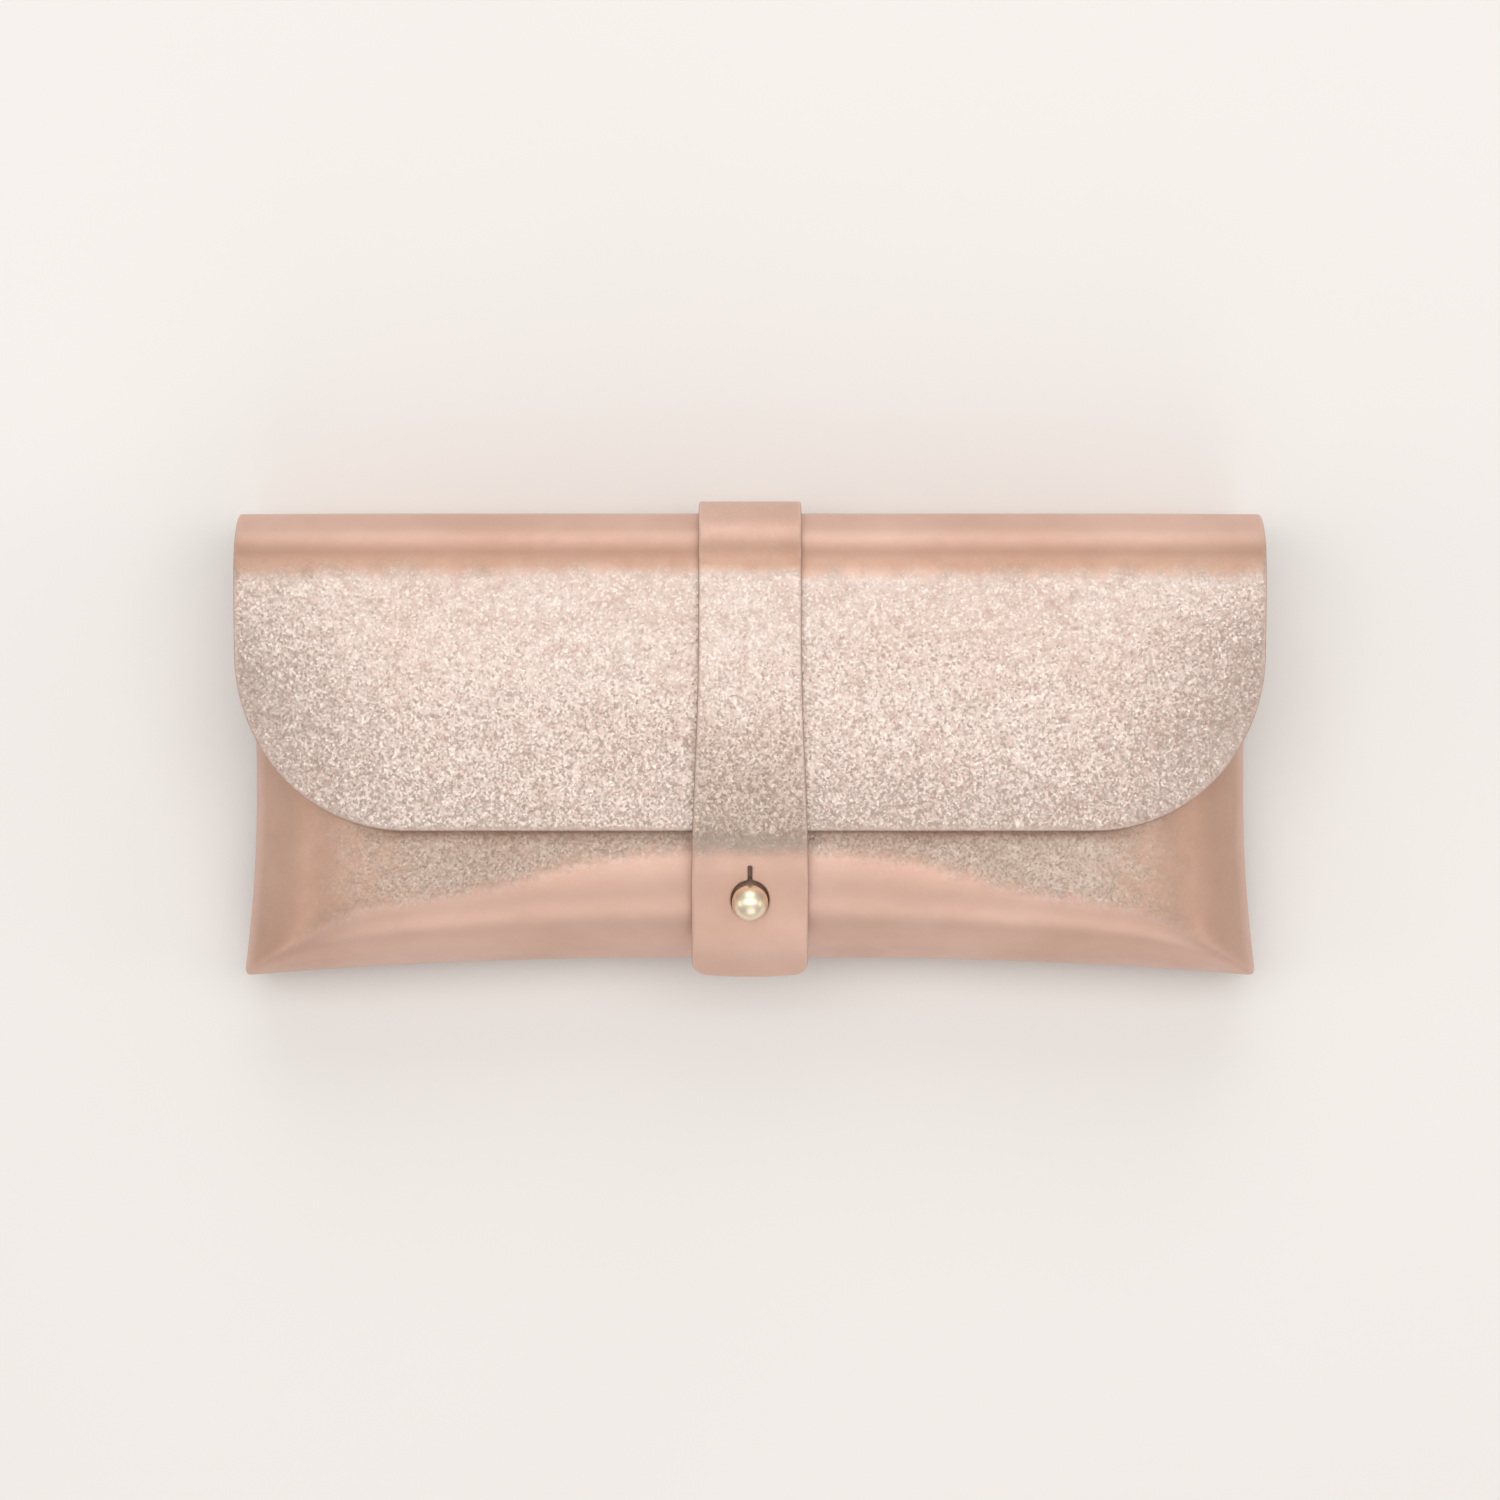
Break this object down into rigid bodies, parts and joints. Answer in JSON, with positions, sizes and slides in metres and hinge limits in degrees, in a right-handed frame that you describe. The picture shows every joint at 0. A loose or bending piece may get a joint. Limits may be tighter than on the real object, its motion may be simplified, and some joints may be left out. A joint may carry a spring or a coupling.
{
  "type": "eyeglasses case",
  "caption": "Flapped leather eyeglasses case with large rounded flap corners and a wrap-over strap buttoned on a ball stud.",
  "frame": {"origin": "middle of the case's length and depth, on the plane the back rests on", "axes": "+Z out of the front face, +Y towards the folded top edge, +X to the right seen from the front"},
  "size_m": [0.1808, 0.0838, 0.0351],
  "materials": {
    "leather": "metallic rose-gold foil on finely pebbled grain, semi-gloss",
    "suede_lining": "matt suede microfibre",
    "stiffening_board": "matt fibre board",
    "thread": "twisted polyester thread",
    "stud_metal": "polished pale gold plating"
  },
  "bodies": {
    "pocket": {"back_panel": "leather", "back_board": "stiffening_board", "back_lining": "suede_lining", "front_panel": "leather", "front_board": "stiffening_board", "front_lining": "suede_lining", "seam_thread": "thread", "mouth_thread": "thread", "stud_post": "stud_metal", "stud_screw": "stud_metal", "stud_washer": "leather", "strap_back_leg": "leather", "strap_back_leg_lining": "suede_lining", "strap_anchor_thread": "thread"},
    "spine": {"spine_panel": "leather", "spine_lining": "suede_lining", "strap_spine_run": "leather", "strap_spine_run_lining": "suede_lining"},
    "flap": {"flap_panel": "leather", "flap_lining": "suede_lining", "strap_flap_run": "leather", "strap_flap_run_lining": "suede_lining"},
    "strap": {"strap_front": "leather", "strap_front_lining": "suede_lining"}
  },
  "joints": [
    {"name": "spine_fold", "type": "hinge", "parent": "pocket", "child": "spine", "pos_m": [0, 0.03886, 0.00094], "axis": [-1, 0, 0], "range_deg": [0, 67.5]},
    {"name": "cover_fold", "type": "hinge", "parent": "spine", "child": "flap", "pos_m": [0, 0.03868, 0.03088], "axis": [-1, 0, 0], "range_deg": [0, 67.5]},
    {"name": "strap_lift", "type": "hinge", "parent": "flap", "child": "strap", "pos_m": [0, 0.026, 0.03473], "axis": [-1, 0, 0], "range_deg": [0, 45]}
  ],
  "couplings": [
    {"joint": "cover_fold", "follows": "spine_fold", "ratio": 1}
  ]
}
